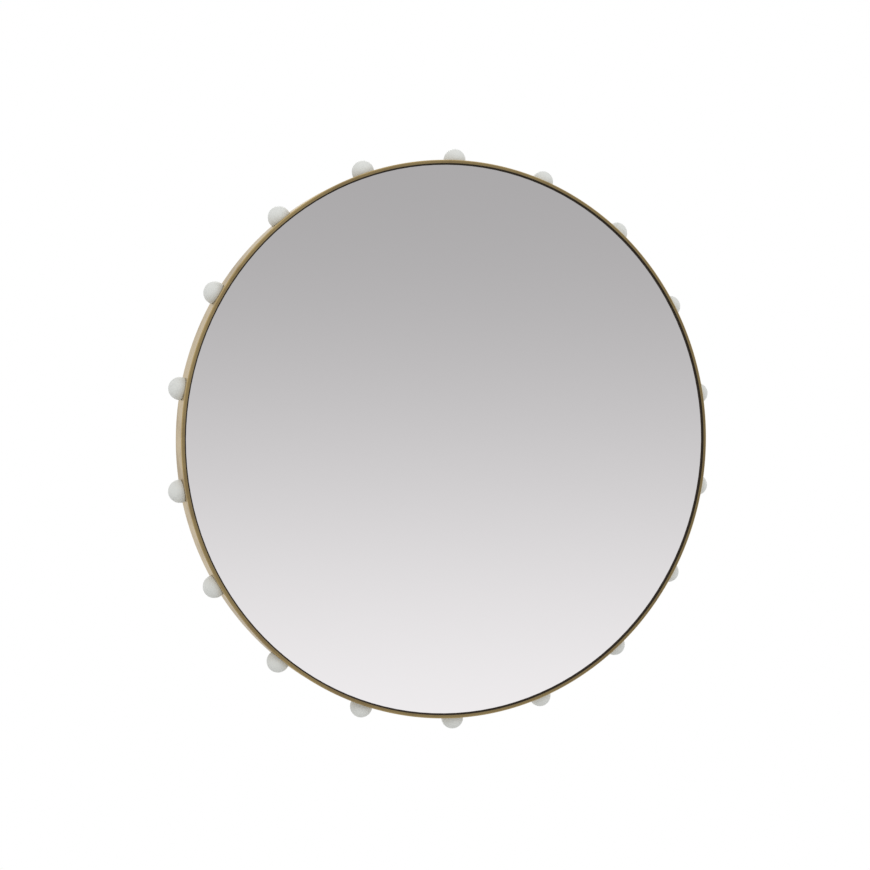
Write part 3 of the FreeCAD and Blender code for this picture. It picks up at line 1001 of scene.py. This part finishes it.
def build_camera():
    studio = settings().studio
    lens = bpy.data.cameras.new("photograph_camera")
    lens.lens = studio.lens
    lens.sensor_width = SENSOR_WIDTH
    camera = add_object("photograph_camera", lens)
    level = math.cos(studio.elevation)
    to_left, to_front = math.sin(studio.azimuth) * level, math.cos(studio.azimuth) * level
    direction = Vector((-to_left, -to_front, math.sin(studio.elevation)))
    camera.location = Vector((0.0, HOOP_LOW.y, 0.0)) + direction * studio.distance
    look_at(camera, PHOTOGRAPH_MIDDLE)
    camera.rotation_euler.rotate_axis("Z", studio.roll)
    bpy.context.scene.camera = camera


def add_softbox(name, place, width, power):
    """Square soft light. One in front of the mirror stays out of its reflections."""
    lamp = bpy.data.lights.new(name, "AREA")
    lamp.shape = "SQUARE"
    lamp.size = width
    lamp.energy = power
    light = add_object(name, lamp)
    light.location = place
    look_at(light, Vector((0.0, HOOP_LOW.y, 0.0)))
    light.visible_camera = False
    light.visible_glossy = light.location.y > 0.0


def build_world():
    """White studio, dimmer in front. The camera sees it plain white. A sharp reflection of the room in front
    sees it darken gently upwards, and a blurred one sees it darken downwards and to the right."""
    world = bpy.data.worlds.new("studio")
    world.use_nodes = True
    world.node_tree.nodes.clear()
    bpy.context.scene.world = world
    graph = Graph(world.node_tree)
    x, y, z = graph.split(graph.node("ShaderNodeTexCoord")["Generated"])

    # What the mirror shows is set as a screen value, decoded to light, and freed of the silver's own loss.
    slope = z / (x * x + y * y + 0.0001).math("SQRT")
    screen = 0.671 + slope.rise(0.17, -0.235) * 0.270
    room = ((screen + 0.055) / 1.055) ** 2.4 / settings().finish.silver[0]
    mirrored = 1.0 + y.rise(0.05, -0.15) * (room - 1.0)

    beside = 0.95
    dim = (0.33 + x.rise(0.38, 0.12) * 0.25 + z * 0.55).math("MAXIMUM", 0.1)
    blurred = beside + y.rise(-0.1, -0.7) * (dim - beside)
    soft = 0.70 + z * 0.04

    ray = graph.node("ShaderNodeLightPath")
    seen = ray["Is Camera Ray"]
    sharp = ray["Is Singular Ray"]
    glossy = ray["Is Glossy Ray"] * (1.0 - sharp)
    diffuse = 1.0 - glossy - sharp
    strength = seen + (1.0 - seen) * (sharp * mirrored + glossy * blurred + diffuse * soft)
    white = (1.0, 1.0, 1.0, 1.0)
    background = graph.node("ShaderNodeBackground", {}, {"Color": white, "Strength": strength})
    graph.node("ShaderNodeOutputWorld", {}, {"Surface": background})


def build_floor():
    drop = -settings().studio.floor_drop
    spots = [
        (-FLOOR_SIDE, FLOOR_NEAR),
        (FLOOR_SIDE, FLOOR_NEAR),
        (FLOOR_SIDE, FLOOR_FAR),
        (-FLOOR_SIDE, FLOOR_FAR),
    ]
    mesh = bpy.data.meshes.new("studio_floor")
    mesh.from_pydata([(x, y, drop) for x, y in spots], [], [(0, 1, 2, 3)])
    mesh.materials.append(material("studio_floor"))
    add_object("studio_floor", mesh)


def build_studio():
    build_camera()
    build_world()
    for name, place, width, share_of_key in SOFTBOXES:
        add_softbox(name, place, width, settings().studio.key_power * share_of_key)
    build_floor()
    bpy.context.scene.view_settings.view_transform = "Standard"


# ---- Operators ----
class StudioOperator(bpy.types.Operator):
    """Set up the camera, the lights, the white surroundings and the pale floor"""

    bl_idname = "wall_mirror.studio"
    bl_label = "Studio"

    def execute(self, context):
        build_studio()
        return {"FINISHED"}


class HoopOperator(bpy.types.Operator):
    """Turn and drill the brass hoop"""

    bl_idname = "wall_mirror.hoop"
    bl_label = "Brass hoop"

    def execute(self, context):
        build_hoop()
        return {"FINISHED"}


class BallsOperator(bpy.types.Operator):
    """Grind and drill the marble balls, and finish their inserts and washers"""

    bl_idname = "wall_mirror.balls"
    bl_label = "Marble balls"

    def execute(self, context):
        build_balls()
        dress(["ball_inserts"], "turned_brass")
        dress(["ball_washers"], "zinc_plate")
        return {"FINISHED"}


class GlassOperator(bpy.types.Operator):
    """Silver the glass and finish its seal and adhesive"""

    bl_idname = "wall_mirror.glass"
    bl_label = "Mirror glass"

    def execute(self, context):
        dress(["mirror_glass"], "silvered_glass")
        dress(["glazing_seal"], "foam_seal")
        dress(["adhesive_strips"], "white_foam")
        return {"FINISHED"}


class BackingOperator(bpy.types.Operator):
    """Paint the board and the rails, and finish the tabs and the bumpers"""

    bl_idname = "wall_mirror.backing"
    bl_label = "Backing"

    def execute(self, context):
        dress(["backing_board"], "painted_board")
        dress(["hanging_rail", "spacer_rail"], "painted_softwood")
        dress(TAB_NODES, "rubbed_brass")
        dress(["wall_bumper_left", "wall_bumper_right"], "dusty_rubber")
        return {"FINISHED"}


class HangersOperator(bpy.types.Operator):
    """Bend the hanger rings and plate their straps"""

    bl_idname = "wall_mirror.hangers"
    bl_label = "Ring hangers"

    def execute(self, context):
        build_hanger_rings()
        dress(["hanger_strap_left", "hanger_strap_right"], "nickel_plate")
        return {"FINISHED"}


class ScrewsOperator(bpy.types.Operator):
    """Make every screw with its recess"""

    bl_idname = "wall_mirror.screws"
    bl_label = "Screws"

    def execute(self, context):
        build_ball_screws()
        build_tab_screws()
        build_rail_screws()
        build_hanger_screws()
        return {"FINISHED"}


class MirrorPanel(bpy.types.Panel):
    """Every setting, and a button for each step"""

    bl_idname = "VIEW3D_PT_wall_mirror"
    bl_label = "Round Wall Mirror"
    bl_space_type = "VIEW_3D"
    bl_region_type = "UI"
    bl_category = "Mirror"

    def draw(self, context):
        groups = context.scene.wall_mirror
        for name in MirrorSettings.__annotations__:
            box = self.layout.box()
            group = getattr(groups, name)
            for prop in group.bl_rna.properties:
                if prop.identifier in group.__annotations__:
                    box.prop(group, prop.identifier)
        for operator in OPERATORS:
            self.layout.operator(operator.bl_idname)


SETTINGS = (HoopSettings, BallSettings, HangerSettings, FinishSettings, StudioSettings, MirrorSettings)
OPERATORS = (
    StudioOperator,
    HoopOperator,
    BallsOperator,
    GlassOperator,
    BackingOperator,
    HangersOperator,
    ScrewsOperator,
)


def register():
    for kind in (*SETTINGS, *OPERATORS, MirrorPanel):
        bpy.utils.register_class(kind)
    bpy.types.Scene.wall_mirror = PointerProperty(type=MirrorSettings)


def unregister():
    del bpy.types.Scene.wall_mirror
    for kind in reversed((*SETTINGS, *OPERATORS, MirrorPanel)):
        bpy.utils.unregister_class(kind)


def main():
    register()
    for operator in OPERATORS:
        group, action = operator.bl_idname.split(".")
        getattr(getattr(bpy.ops, group), action)()


if __name__ == "__main__":
    main()
